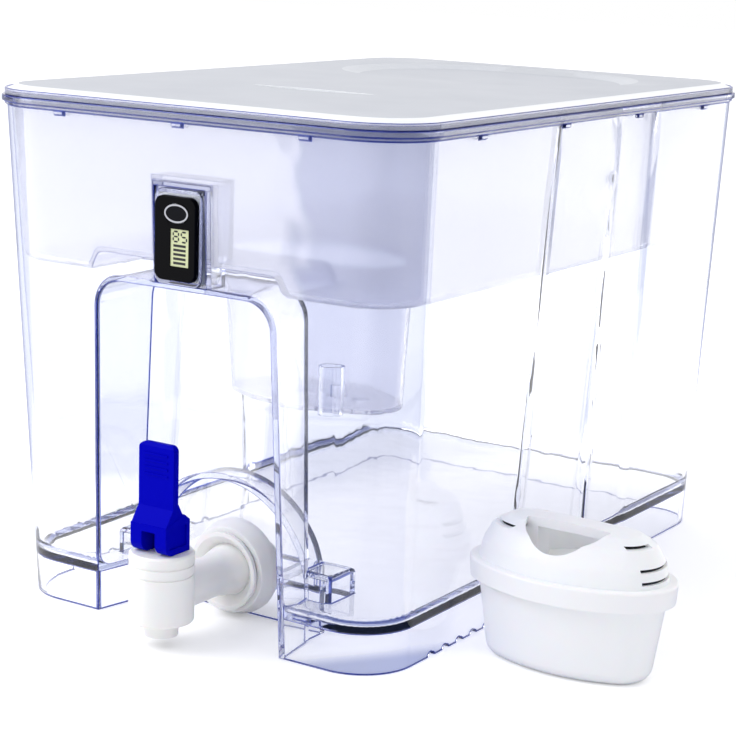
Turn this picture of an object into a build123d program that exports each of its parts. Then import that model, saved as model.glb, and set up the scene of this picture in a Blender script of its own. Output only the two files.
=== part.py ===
from build123d import *
from math import cos, hypot, radians, sin
import os

# Countertop gravity water filter: clear tank with a lever tap, lift-out funnel with a
# cartridge chamber, lid, plug-in timer and one filter cartridge standing beside it.
# Units mm. Modelled with the tank's centre line on x = 0 and the table on z = 0, tap
# towards -Y; save() moves every piece so that the origin is under the middle of it all.

# ---------------------------------------------------------------- tank
TANK_H = 250.0            # table to the top of the rim
BASE_W, BASE_D = 219.0, 350.0
TOP_W, TOP_D = 240.0, 366.0
TOP_SHIFT = -3.6          # the front wall leans out more than the back wall
BASE_R, TOP_R = 28.0, 30.0
WALL = 3.0
THIN = 2.5                # wall of the niche, of the pockets and of the sump
FLOOR_Z = 22.0
FLOOR_T = 2.2
FLOOR_FILLET = 7.0
RIM_OUT, RIM_T = 2.4, 3.0
SHOULDER_OUT, SHOULDER_T = 1.0, 1.7     # step under the rim
LUG_W, LUG_H, LUG_OUT = 6.0, 2.0, 1.2
LUG_PITCH_SIDE, LUG_PITCH_FRONT = 80.0, 70.0
FRONT_REACH = 22.0                      # how far cutters stand out of the front wall

# niche in the front wall and the arched pocket behind it that takes the tap
NICHE_W0, NICHE_W1 = 115.0, 103.0     # opening width at the table and at the top
NICHE_TOP, NICHE_RISE = TANK_H - 83.0, 2.0   # opening height, extra height at the back
NICHE_DRAFT, NICHE_FLARE = 7.6, 3.3   # inward at the back, outward at the cut's front end, each side
NICHE_BACK_Y = -BASE_D / 2 + 27.0
NICHE_R = 14.0
ARCH_R = 48.5
ARCH_BACK_Y = NICHE_BACK_Y + 15.0
ARCH_Z, TAP_Z = 22.0, 24.2              # centre of the pocket's arch, centre of the tap's neck
SUMP_R, SUMP_END_Y = 18.5, ARCH_BACK_Y + 35.0
BLOCK_X0, BLOCK_X1, BLOCK_TOP, BLOCK_END_Y = 44.0, 65.0, 35.0, ARCH_BACK_Y + 6.0
BLOCK_FILLET = 2.5

# side wall panels: y of both edges, flank widths and depth, at the table and at the rim
PANEL_A = dict(y=((-60.0, 22.0), (-44.0, 22.0)), flank=((18.0, 9.0), (4.0, 5.0)), depth=(3.4, 0.7))
PANEL_B = dict(y=((23.0, 72.0), (4.0, 70.0)), flank=((5.0, 10.0), (26.0, 10.0)), depth=(1.2, 3.0))
SCALLOP_R, SCALLOP_PITCH, SCALLOPS = 3.0, 13.0, 9   # grip notches in the foot of the side walls
SCALLOP_Y, SCALLOP_Z = -128.0, -0.8

# ---------------------------------------------------------------- funnel, lid
FUNNEL_GAP = 1.2
FUNNEL_WALL = 2.0
FUNNEL_BOTTOM_Z = TANK_H - 79.0
FUNNEL_FILLET = 4.0
FUNNEL_FLANGE = 1.8
LIP_OUT, LIP_T, LIP_H = 1.0, 1.2, 1.5   # upstand of the flange round the lid
CHAMBER_Y = -66.0
CHAMBER = (0, CHAMBER_Y)
CHAMBER_TOP_Z = FUNNEL_BOTTOM_Z + FUNNEL_WALL
CHAMBER_BOTTOM_Z = CHAMBER_TOP_Z - 75.0
CHAMBER_WALL = 2.0
CHAMBER_LOW = (50.0, 30.5, 22.5)      # half axes and end radius at the bottom
CHAMBER_HIGH = (56.0, 36.5, 27.0)     # and at the top
VENT_R, VENT_PITCH = 5.0, 16.0        # outlets in the bottom of the chamber
# raised part of the funnel's bottom over the niche: half width at its top and at its foot
SADDLE_TOP, SADDLE_FOOT, SADDLE_END_Y = 47.5, 60.0, NICHE_BACK_Y + 9.0
SADDLE_Z = FUNNEL_BOTTOM_Z + 9.6
LID_T, LID_EDGE = 2.5, 3.2
LID_INSET, LID_SLOPE_W, LID_SLOPE_H = 0.5, 5.0, 2.2
LID_PLUG_H, LID_PLUG_INSET = 7.0, 14.0
DISH_A, DISH_B, DISH_R, DISH_Y = 84.0, 66.0, 62.0, 94.0
DISH_DEPTH, DISH_FLANK = 2.4, 10.0
GRIP_W, GRIP_Y, GRIP_DEPTH = 72.0, -80.0, 5.0
GRIP_NEAR, GRIP_FAR = 6.5, 3.0         # bulge of the finger recess to the front and to the back
TUBE_R, TUBE_BORE, TUBE_H = 5.0, 3.8, 24.5
TUBE_X, TUBE_Y = 28.0, CHAMBER_Y - 33.0
WEB_T = 4.0

# ---------------------------------------------------------------- cartridge
CART_GAP, CART_Y = 1.98, -97.0        # gap between the tank's wall and the collar
CART_A, CART_B = 51.5, 32.0           # half axes over the collar
CART_END_R = 24.0
COLLAR_Z0, COLLAR_Z1 = 38.0, 48.0
CAP_WALL = 1.4
CART_NECK = 5.0                       # collar overhang past the body
CART_BASE_A, CART_BASE_B = 41.0, 21.5
CART_WALL = 1.8
SLOT_W, SLOT_D = 43.0, 18.0           # half-moon finger slots at both sides of the handle bar
BAR_W, BAR_T, BAR_SPAN = 12.0, 4.5, 32.0
SLIT_H = 1.5
SLIT_LOW, SLIT_MID, SLIT_TOP = 2.0, 7.5, 16.6   # over the collar

# ---------------------------------------------------------------- timer
TIMER_W, TIMER_H, TIMER_D = 28.0, 44.5, 13.0
TIMER_Z0 = TANK_H - 79.4
TIMER_GAP = 0.5
TIMER_PROUD = 3.5
POCKET_WALL = 1.8
BEZEL_W, BEZEL_H, BEZEL_T, BEZEL_UP = 24.2, 39.0, 2.2, 2.4
BUTTON_A, BUTTON_B = 7.0, 4.5
BUTTON_X, BUTTON_Z = 0.8, TIMER_Z0 + 33.7
LCD_X0, LCD_X1 = -2.8, 7.9
LCD_Z0, LCD_Z1 = TIMER_Z0 + 9.2, TIMER_Z0 + 26.6

# ---------------------------------------------------------------- tap
TAP_Y = ARCH_BACK_Y - 61.0            # centre of the barrel
TAP_COLLAR_Y = ARCH_BACK_Y - 14.0     # front rim of the bell collar
BARREL_R, BARREL_Z0, BARREL_Z1 = 15.5, 12.5, 46.7
BORE_R = 11.0
RING_Z, RING_PITCH, RING_H, RING_DEEP = 35.6, 5.0, 0.9, 0.6   # two grooves round the barrel
OUTLET_R, OUTLET_BORE, OUTLET_Z = 8.2, 6.0, 5.5
NECK_R, NECK_BORE = 10.3, 5.0
COLLAR_R0, COLLAR_R1 = 20.5, 16.0     # bell mouth: front rim and root
SHROUD_R0, SHROUD_R1 = 21.5, 24.0
THREAD_R, THREAD_END_Y = 7.8, ARCH_BACK_Y + 23.0
THREAD_PITCH, THREAD_TURNS = 1.8, 9
HOLE_R = 8.3
WASHER_R, WASHER_T = 13.5, 1.6
NUT_R, NUT_T = 14.0, 8.0
LEVER_W, LEVER_FRONT, LEVER_BACK, LEVER_Z1 = 20.8, 10.5, 7.5, 65.0
LEVER_GAP = 0.3
LEVER_NOSE_R = 5.4
PADDLE_T, PADDLE_TOP_Z = 3.8, 98.7
PIN_R, PIN_Z, PIN_SKIN = 2.0, 56.0, 1.8   # the pin ends under a skin of the lever cheeks
STEM_R = 3.4
SPRING_R, WIRE_R, SPRING_TURNS = 6.2, 0.6, 4.5
SEAT_LIFT = 4.2
RUN = 0.06                            # radial running clearance of the pin and stem


def mix(low, high, z):
    return low + (high - low) * z / TANK_H


CART_X = mix(BASE_W, TOP_W, COLLAR_Z1) / 2 + CART_GAP + CART_A
# middle of the whole footprint: rim to cartridge collar in X, tap barrel to rim in Y
MIDDLE_X = (CART_X + CART_A - TOP_W / 2 - RIM_OUT) / 2
MIDDLE_Y = (TAP_Y - BARREL_R + TOP_SHIFT + TOP_D / 2 + RIM_OUT) / 2


def outline(z, inset=0.0):
    """Horizontal section of the tank body, drawn in by `inset`."""
    width = mix(BASE_W, TOP_W, z) - 2 * inset
    depth = mix(BASE_D, TOP_D, z) - 2 * inset
    radius = mix(BASE_R, TOP_R, z) - inset
    return Pos(0, mix(0, TOP_SHIFT, z), z) * RectangleRounded(width, depth, radius)


def walls(z0, z1, inset=0.0):
    return loft([outline(z0, inset).face(), outline(z1, inset).face()], ruled=True)


def front_y(z):
    return mix(0, TOP_SHIFT, z) - mix(BASE_D, TOP_D, z) / 2


def panel(spec, side, grow=0.0):
    """Shallow drafted recess in a side wall; `grow` offsets it into the wall."""
    ends = []
    for k, z in ((0, -5.0), (1, TANK_H + 5.0)):
        half = mix(BASE_W, TOP_W, z) / 2
        y0, y1 = spec["y"][k]
        f0, f1 = spec["flank"][k]
        depth = spec["depth"][k]
        points = [
            (half + 4, y0 - grow / 2),
            (half - grow, y0 - grow / 2),
            (half - depth - grow, y0 + f0 - grow / 4),
            (half - depth - grow, y1 - f1 + grow / 4),
            (half - grow, y1 + grow / 2),
            (half + 4, y1 + grow / 2),
        ]
        ends.append(Pos(0, 0, z) * make_face(Polyline([(side * x, y) for x, y in points], close=True)))
    return loft([end.face() for end in ends], ruled=True)


def panels(grow=0.0):
    return [panel(spec, side, grow) for spec in (PANEL_A, PANEL_B) for side in (-1, 1)]


def across(y):
    """Plane facing the front at depth y: local x = X, local y = Z."""
    return Plane((0, y, 0), x_dir=(1, 0, 0), z_dir=(0, -1, 0))


def niche(grow=0.0):
    faces = []
    front = front_y(TANK_H) - FRONT_REACH
    for y, narrow, rise in ((front, -NICHE_FLARE, 0.0), (NICHE_BACK_Y + grow, NICHE_DRAFT, NICHE_RISE)):
        low = NICHE_W0 / 2 - narrow + grow
        high = NICHE_W1 / 2 - narrow + grow
        top = NICHE_TOP + rise + grow
        shape = make_face(Polyline([(-low, -5), (low, -5), (high, top), (-high, top)], close=True))
        corners = shape.vertices().sort_by(Axis.Y)[-2:]
        shape = fillet(corners, NICHE_R + grow)
        faces.append((across(y) * shape).face())
    return loft(faces, ruled=True)


def arch(y0, y1, radius, centre_z, down_to=-5.0):
    """Half-round tunnel along Y with straight sides below its centre."""
    shape = Pos(0, centre_z) * Circle(radius)
    shape += Pos(0, (centre_z + down_to) / 2) * Rectangle(2 * radius, centre_z - down_to)
    return extrude(across(y0) * shape, amount=-(y1 - y0))


def rod(radius, start, end):
    """Cylinder between two points."""
    axis = Vector(*end) - Vector(*start)
    return extrude(Plane(start, z_dir=axis) * Circle(radius), amount=axis.length)


def block(x0, x1, y0, y1, z0, z1):
    return Pos((x0 + x1) / 2, (y0 + y1) / 2, (z0 + z1) / 2) * Box(x1 - x0, y1 - y0, z1 - z0)


def oval(a, b, end_r):
    """Four-arc oval with half axes a and b."""
    c = a - end_r
    side_r = (b * b + c * c - end_r * end_r) / (2 * (b - end_r))
    drop = side_r - b
    tx = c * side_r / (side_r - end_r)
    ty = drop * side_r / (side_r - end_r) - drop
    loop = [
        ThreePointArc((-tx, ty), (0, b), (tx, ty)),
        ThreePointArc((tx, ty), (a, 0), (tx, -ty)),
        ThreePointArc((tx, -ty), (0, -b), (-tx, -ty)),
        ThreePointArc((-tx, -ty), (-a, 0), (-tx, ty)),
    ]
    return make_face(loop)


def oval_loft(sections, centre):
    faces = []
    for a, b, end_r, z in sections:
        faces.append((Pos(centre[0], centre[1], z) * oval(a, b, end_r)).face())
    return loft(faces, ruled=True)


def save(shape, name):
    export_step(Pos(-MIDDLE_X, -MIDDLE_Y, 0) * shape, "parts/" + name + ".step")


# ---------------------------------------------------------------- tank
def timer_pocket(grow=0.0, gap=TIMER_GAP):
    x = TIMER_W / 2 + gap + grow
    z0 = TIMER_Z0 - grow
    z1 = TIMER_Z0 + TIMER_H + gap + grow
    y1 = TIMER_FRONT_Y + TIMER_PROUD + TIMER_D + gap + grow
    return block(-x, x, TIMER_FRONT_Y - FRONT_REACH, y1, z0, z1)


TIMER_FRONT_Y = front_y(TIMER_Z0 + TIMER_H / 2) - TIMER_PROUD


def make_tank():
    body = walls(0, TANK_H)
    for cut in panels():
        body -= cut
    room = walls(FLOOR_Z, TANK_H + 1, WALL)
    floor_edges = room.faces().sort_by(Axis.Z)[0].edges()
    room = fillet(floor_edges, FLOOR_FILLET)
    under = walls(-1, FLOOR_Z - FLOOR_T, WALL)
    for keep in panels(WALL):
        room -= keep
        under -= keep
    jackets = niche(THIN) + arch(NICHE_BACK_Y - 1, ARCH_BACK_Y + THIN, ARCH_R + THIN, ARCH_Z)
    room -= jackets
    under -= jackets
    room -= timer_pocket(POCKET_WALL)
    for side in (-1, 1):
        x0, x1 = sorted((side * BLOCK_X0, side * BLOCK_X1))
        raised = block(x0, x1, NICHE_BACK_Y, BLOCK_END_Y, -5, BLOCK_TOP)
        raised = fillet(raised.edges().group_by(Axis.Z)[-1], BLOCK_FILLET)
        room -= raised
        inner = block(x0 + THIN, x1 - THIN, NICHE_BACK_Y, BLOCK_END_Y - THIN, -5, BLOCK_TOP - THIN)
        under += inner - jackets
    sump = arch(ARCH_BACK_Y + THIN, SUMP_END_Y, SUMP_R - THIN, TAP_Z, TAP_Z - 1)
    sump_shell = arch(ARCH_BACK_Y, SUMP_END_Y + THIN, SUMP_R, TAP_Z, TAP_Z - 1)
    room += sump
    under -= sump_shell
    body = body - room - under - niche() - timer_pocket()
    body -= arch(NICHE_BACK_Y - 1, ARCH_BACK_Y, ARCH_R, ARCH_Z)
    body -= rod(HOLE_R, (0, ARCH_BACK_Y - 1, TAP_Z), (0, ARCH_BACK_Y + THIN + 1, TAP_Z))
    rim = extrude(outline(TANK_H, -RIM_OUT), amount=-RIM_T)
    rim += extrude(outline(TANK_H, -SHOULDER_OUT), amount=-RIM_T - SHOULDER_T)
    body += rim - walls(TANK_H - 20, TANK_H + 1, WALL / 2)
    lugs = []
    for k in (-1.5, -0.5, 0.5, 1.5):
        for side in (-1, 1):
            lugs.append((side * TOP_W / 2, k * LUG_PITCH_SIDE, LUG_OUT * 2, LUG_W))
    for k in (-1, 0, 1):
        lugs.append((k * LUG_PITCH_FRONT, front_y(TANK_H), LUG_W, LUG_OUT * 2))
    lug_z = TANK_H - RIM_T - SHOULDER_T - LUG_H / 2
    for x, y, dx, dy in lugs:
        body += Pos(x, y, lug_z) * Box(dx, dy, LUG_H)
    for k in range(SCALLOPS):
        y = SCALLOP_Y + k * SCALLOP_PITCH
        for side in (-1, 1):
            start = (side * (BASE_W / 2 - 8), y, SCALLOP_Z)
            body -= rod(SCALLOP_R, start, (side * (BASE_W / 2 + 5), y, SCALLOP_Z))
    return body


# ---------------------------------------------------------------- funnel and lid
def make_funnel():
    inset = WALL + FUNNEL_GAP
    top = TANK_H + FUNNEL_FLANGE
    body = walls(FUNNEL_BOTTOM_Z, TANK_H, inset)
    body = fillet(body.faces().sort_by(Axis.Z)[0].edges(), FUNNEL_FILLET)
    room = walls(FUNNEL_BOTTOM_Z + FUNNEL_WALL, top + 1, inset + FUNNEL_WALL)
    room = fillet(room.faces().sort_by(Axis.Z)[0].edges(), FUNNEL_FILLET - 1.5)
    for cut in panels(inset):
        body -= cut
    for keep in panels(inset + FUNNEL_WALL):
        room -= keep
    body -= saddle()
    room -= saddle(FUNNEL_WALL)
    body -= timer_pocket(POCKET_WALL + FUNNEL_GAP / 2)
    room -= timer_pocket(POCKET_WALL + FUNNEL_GAP / 2 + FUNNEL_WALL)
    body += extrude(outline(TANK_H, -LIP_OUT), amount=FUNNEL_FLANGE + LIP_H)
    room += extrude(Pos(0, 0, FUNNEL_FLANGE) * outline(TANK_H, LIP_T - LIP_OUT), amount=LIP_H + 1)
    return body - room - chamber_shell()


def saddle(grow=0.0):
    """Raised part of the funnel's bottom that clears the niche, with S-shaped flanks."""
    low = FUNNEL_BOTTOM_Z - 0.5 + grow
    high = SADDLE_Z + grow
    foot = SADDLE_FOOT + grow
    top = SADDLE_TOP + grow
    edges = [
        Spline((-foot, low), (-top, high), tangents=((1, 0), (1, 0))),
        Line((-top, high), (top, high)),
        Spline((top, high), (foot, low), tangents=((1, 0), (1, 0))),
        Polyline((foot, low), (foot, low - 9), (-foot, low - 9), (-foot, low)),
    ]
    front = front_y(TANK_H) - FRONT_REACH
    return extrude(across(front) * make_face(edges), amount=front - SADDLE_END_Y - grow)


def chamber_shell(inset=0.0, floor=0.0, over=0.0):
    sections = []
    for (a, b, end_r), z in ((CHAMBER_LOW, CHAMBER_BOTTOM_Z + floor), (CHAMBER_HIGH, CHAMBER_TOP_Z + over)):
        sections.append((a - inset, b - inset, end_r - inset, z))
    return oval_loft(sections, CHAMBER)


def make_chamber():
    """Oval well that takes the cartridge; it hangs in the funnel's bottom."""
    body = chamber_shell() - chamber_shell(CHAMBER_WALL, CHAMBER_WALL, 0.01)
    for k in (-1.5, -0.5, 0.5, 1.5):
        body -= Pos(k * VENT_PITCH, CHAMBER_Y, CHAMBER_BOTTOM_Z) * Cylinder(VENT_R, 12)
    return body


def make_vent_tube():
    """Riser beside the chamber, held to it by a short web."""
    foot = CHAMBER_BOTTOM_Z + 1
    body = rod(TUBE_R, (TUBE_X, TUBE_Y, foot), (TUBE_X, TUBE_Y, foot + TUBE_H))
    web = block(TUBE_X - WEB_T / 2, TUBE_X + WEB_T / 2, TUBE_Y, TUBE_Y + 14, foot + 8, foot + 14)
    body = body + web - chamber_shell()
    return body - rod(TUBE_BORE, (TUBE_X, TUBE_Y, foot - 1), (TUBE_X, TUBE_Y, foot + TUBE_H + 1))


def lens(width, near, far, grow=0.0):
    """Flat shape between two arcs, with its tips on the X axis."""
    tip = width / 2 + grow
    low, high = -near - grow, far + grow
    edges = [ThreePointArc((-tip, 0), (0, low), (tip, 0)), ThreePointArc((tip, 0), (0, high), (-tip, 0))]
    return make_face(edges)


def make_lid():
    top = TANK_H + FUNNEL_FLANGE + LID_EDGE
    shoulder = FUNNEL_FLANGE + LID_EDGE - LID_SLOPE_H
    body = extrude(Pos(0, 0, FUNNEL_FLANGE) * outline(TANK_H, LID_INSET), amount=LID_EDGE - LID_SLOPE_H)
    body += loft([
        (Pos(0, 0, shoulder) * outline(TANK_H, LID_INSET)).face(),
        (Pos(0, 0, FUNNEL_FLANGE + LID_EDGE) * outline(TANK_H, LID_INSET + LID_SLOPE_W)).face(),
    ], ruled=True)
    body -= extrude(Pos(0, 0, FUNNEL_FLANGE) * outline(TANK_H, 6.0), amount=LID_EDGE - LID_T)
    plug = extrude(Pos(0, 0, FUNNEL_FLANGE + 1) * outline(TANK_H, LID_PLUG_INSET), amount=-LID_PLUG_H - 1)
    hollow = Pos(0, 0, FUNNEL_FLANGE + 1) * outline(TANK_H, LID_PLUG_INSET + 1.8)
    body += plug - extrude(hollow, amount=-LID_PLUG_H - 1)
    dish_under = RectangleRounded(2 * DISH_A - 6, 2 * DISH_B - 6, DISH_R - 3)
    body += extrude(Pos(0, DISH_Y, top - LID_T) * dish_under, amount=-DISH_DEPTH)
    dish = []
    for up in (-DISH_DEPTH, 0.6):
        grow = DISH_FLANK * up / DISH_DEPTH
        form = RectangleRounded(2 * (DISH_A + grow), 2 * (DISH_B + grow), DISH_R + grow)
        dish.append((Pos(0, DISH_Y, top + up) * form).face())
    body -= loft(dish, ruled=True)
    shell = Pos(0, GRIP_Y, top - 0.5) * lens(GRIP_W, GRIP_NEAR, GRIP_FAR, 1.6)
    body += extrude(shell, amount=-GRIP_DEPTH - 0.9)
    grip = Pos(0, GRIP_Y, top + 1) * lens(GRIP_W, GRIP_NEAR, GRIP_FAR)
    return body - extrude(grip, amount=-GRIP_DEPTH - 1)


# ---------------------------------------------------------------- cartridge
DOME = (
    (47.0, 28.0, 21.0, 0.0),
    (45.2, 26.0, 19.5, 8.0),
    (40.5, 20.5, 15.0, 16.5),
    (33.0, 13.0, 9.5, 20.5),
    (22.0, 5.5, 4.2, 22.0),
)


def dome_sections(inset, below=0):
    """Sections of the cartridge cap; `below` carries them on under the collar top."""
    sections = []
    for a, b, end_r, z in DOME:
        sections.append((a - inset, b - inset, end_r - inset, COLLAR_Z1 + z - inset * z / 20))
    if below:
        a, b, end_r, z = DOME[0]
        sections.insert(0, (a - inset, b - inset, end_r - inset, COLLAR_Z1 - below))
    return sections


def finger_slots():
    """Half-moon at each side of the handle bar."""
    arc = ThreePointArc((-SLOT_W / 2, 0), (0, -SLOT_D), (SLOT_W / 2, 0))
    moon = Pos(0, -BAR_W / 2) * make_face([Line((-SLOT_W / 2, 0), (SLOT_W / 2, 0)), arc])
    return moon, Rot(0, 0, 180) * moon


def slit(z, start, end):
    """Thin horizontal cutter through the dome wall at height z, between two angles."""
    fan = [(0, 0)]
    for k in range(5):
        turn = radians(start + (end - start) * k / 4)
        fan.append((70 * cos(turn), 42 * sin(turn)))
    cut = make_face(Polyline(fan, close=True)) - oval(27, 8, 6)
    return extrude(Pos(0, 0, z) * cut, amount=SLIT_H)


def make_cartridge():
    centre = (CART_X, CART_Y)
    place = Pos(CART_X, CART_Y, 0)
    neck_a = CART_A - CART_NECK
    neck_b = CART_B - CART_NECK
    body = oval_loft([(CART_BASE_A, CART_BASE_B, 16, 0), (neck_a, neck_b, 20, COLLAR_Z0)], centre)
    body = fillet(body.faces().sort_by(Axis.Z)[0].edges(), 7)
    inside = oval_loft([
        (CART_BASE_A - CART_WALL, CART_BASE_B - CART_WALL, 14.5, CART_WALL),
        (neck_a - CART_WALL, neck_b - CART_WALL, 18.5, COLLAR_Z0 + 1),
    ], centre)
    inside = fillet(inside.faces().sort_by(Axis.Z)[0].edges(), 5.5)
    collar = oval_loft([
        (CART_A - 0.8, CART_B - 0.8, CART_END_R - 0.8, COLLAR_Z0),
        (CART_A, CART_B, CART_END_R, COLLAR_Z1),
    ], centre)
    collar = fillet(collar.faces().sort_by(Axis.Z)[-1].edges(), 1.2)
    throat = oval_loft([
        (neck_a - CART_WALL, neck_b - CART_WALL, 18.5, COLLAR_Z0 - 1),
        (neck_a - CART_WALL, neck_b - CART_WALL, 18.5, COLLAR_Z1 + 1),
    ], centre)
    body = body + collar - inside - throat
    for k in range(-2, 3):
        body -= Pos(CART_X + 13 * k, CART_Y, 0) * Cylinder(2.2, 8)

    front, back = finger_slots()
    passage = Rectangle(BAR_SPAN, BAR_W + 2)
    around = offset(front, CAP_WALL) + offset(back, CAP_WALL) + offset(passage, CAP_WALL)
    bar_z = COLLAR_Z1 + DOME[-1][3] - BAR_T
    dome = oval_loft(dome_sections(0), centre)
    cavity = oval_loft(dome_sections(CAP_WALL, 1), centre)
    skin = extrude(place * Pos(0, 0, COLLAR_Z1 - 0.5) * around, amount=30) & dome
    cap = dome - (cavity - skin)
    for opening, top in ((front, 30), (back, 30), (passage, bar_z - COLLAR_Z1 - 1)):
        cap -= extrude(place * Pos(0, 0, COLLAR_Z1 + 1) * opening, amount=top)
    slits = ((SLIT_LOW, -28, 22), (SLIT_MID, -28, 22), (SLIT_TOP, -32, -2), (SLIT_TOP, 15, 45))
    for up, start, end in slits:
        for turn in (0, 180):
            cap -= place * slit(COLLAR_Z1 + up, start + turn, end + turn)
    mesh_gap = CAP_WALL + 0.2
    screen = oval_loft(dome_sections(mesh_gap), centre)
    screen -= oval_loft(dome_sections(mesh_gap + 1.2, 1), centre)
    screen -= extrude(place * Pos(0, 0, COLLAR_Z1 - 1) * offset(around, 0.3), amount=40)
    media = oval_loft([
        (CART_BASE_A - CART_WALL - 5, CART_BASE_B - CART_WALL - 5, 11, CART_WALL + 1.5),
        (neck_a - CART_WALL - 0.5, neck_b - CART_WALL - 0.5, 18.0, COLLAR_Z0 - 1),
    ], centre)
    return body, cap, screen, media


# ---------------------------------------------------------------- timer
def make_timer():
    x = TIMER_W / 2
    z1 = TIMER_Z0 + TIMER_H
    face_y = TIMER_FRONT_Y
    back_y = face_y + TIMER_PROUD + TIMER_D
    joint_y = face_y + BEZEL_T
    bezel_z = TIMER_Z0 + BEZEL_UP
    bezel = block(-BEZEL_W / 2, BEZEL_W / 2, face_y, joint_y, bezel_z, bezel_z + BEZEL_H)
    bezel = fillet(bezel.edges().filter_by(Axis.Y), 4.5)
    bezel = fillet(bezel.faces().sort_by(Axis.Y)[0].edges(), 0.8)
    bezel -= extrude(across(face_y - 1) * button_shape(0.2), amount=-BEZEL_T - 2)
    bezel -= block(LCD_X0, LCD_X1, face_y - 1, joint_y + 1, LCD_Z0, LCD_Z1)
    case = block(-x, x, joint_y, back_y, TIMER_Z0, z1)
    case = fillet(case.edges().filter_by(Axis.Y), 5.0)
    case = fillet(case.faces().sort_by(Axis.Y)[0].edges(), 1.0)
    case -= block(-x + 2.2, x - 2.2, joint_y + 1.4, back_y - 1.6, TIMER_Z0 + 2.2, z1 - 2.2)
    case -= extrude(across(joint_y - 1) * Pos(BUTTON_X, BUTTON_Z) * Circle(2.2), amount=-4)
    ring = extrude(across(face_y - 0.3) * button_shape(-0.2), amount=-0.8)
    ring -= extrude(across(face_y - 1) * button_shape(-1.0), amount=-3)
    button = extrude(across(face_y - 0.2) * button_shape(0), amount=-1.2)
    button += rod(1.8, (BUTTON_X, face_y + 0.9, BUTTON_Z), (BUTTON_X, joint_y + 3.3, BUTTON_Z))
    button -= ring
    lcd = block(LCD_X0 + 0.1, LCD_X1 - 0.1, face_y + 0.5, joint_y, LCD_Z0 + 0.1, LCD_Z1 - 0.1)
    board_y = joint_y + 4.2
    board = block(-x + 2.6, x - 2.6, board_y, board_y + 1.2, TIMER_Z0 + 2.6, z1 - 2.6)
    cell = rod(10.0, (0, board_y + 1.2, TIMER_Z0 + 16), (0, board_y + 4.4, TIMER_Z0 + 16))
    return bezel, case, ring, button, lcd, board, cell


def button_shape(grow):
    return Pos(BUTTON_X, BUTTON_Z) * Ellipse(BUTTON_A + grow, BUTTON_B + grow)


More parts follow.
